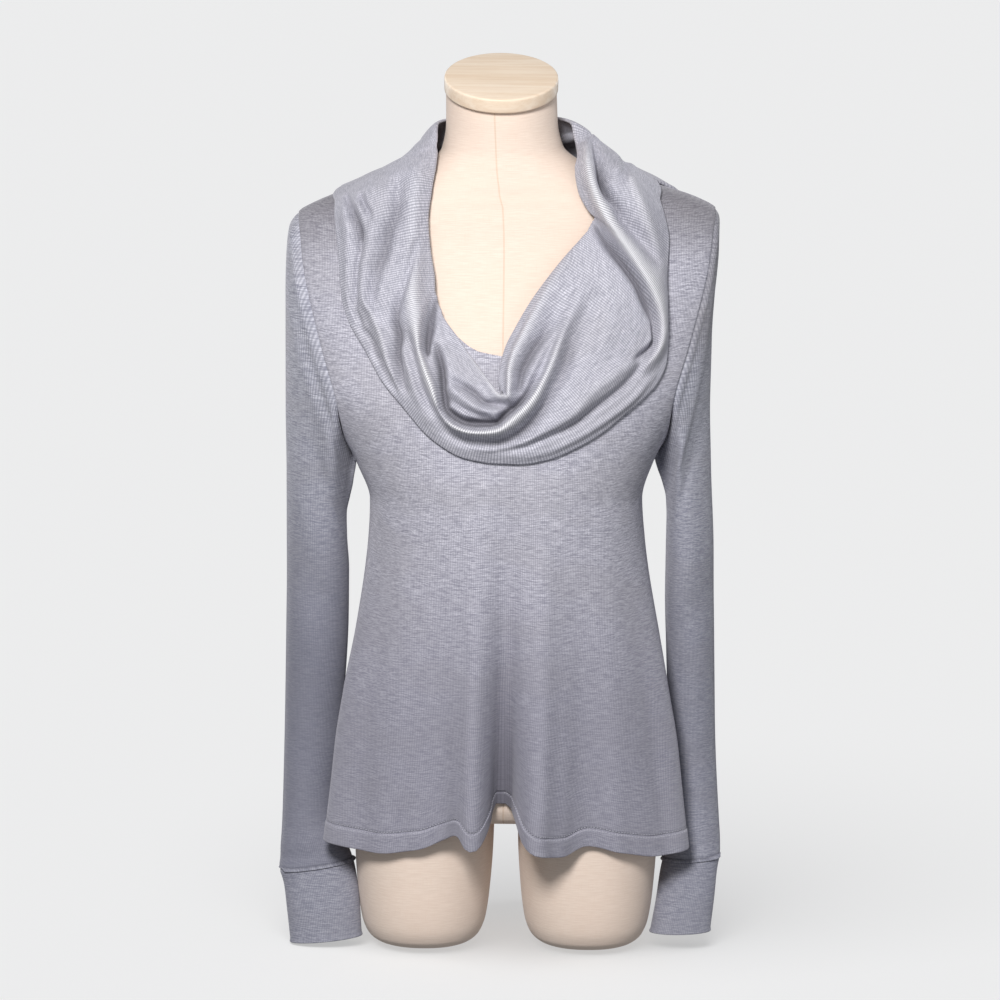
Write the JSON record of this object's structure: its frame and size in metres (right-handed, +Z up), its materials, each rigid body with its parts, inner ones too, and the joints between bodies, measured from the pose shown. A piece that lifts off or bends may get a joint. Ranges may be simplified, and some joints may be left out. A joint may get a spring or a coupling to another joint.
{
  "type": "cowl neck sweater on a dress form",
  "caption": "Hip-length fine-knit sweater with a wide draped cowl collar and long cuffed sleeves, worn by a limbless dress form with a wooden neck cap.",
  "frame": {"origin": "on the surface the dress form stands on, below the middle of the part's box", "axes": "+Z up, +X to the viewer's right when seen from the front, the front faces -Y"},
  "size_m": [0.447, 0.3062, 0.8942],
  "materials": {
    "knit": "heathered fine knit with a slight sheen",
    "linen": "matt plain weave",
    "wood": "satin light wood"
  },
  "bodies": {
    "root": {"front": "knit", "back": "knit", "sleeve_left": "knit", "sleeve_right": "knit", "cuff_left": "knit", "cuff_right": "knit", "cowl": "knit", "dress_form": "linen", "neck_cap": "wood"}
  },
  "joints": []
}
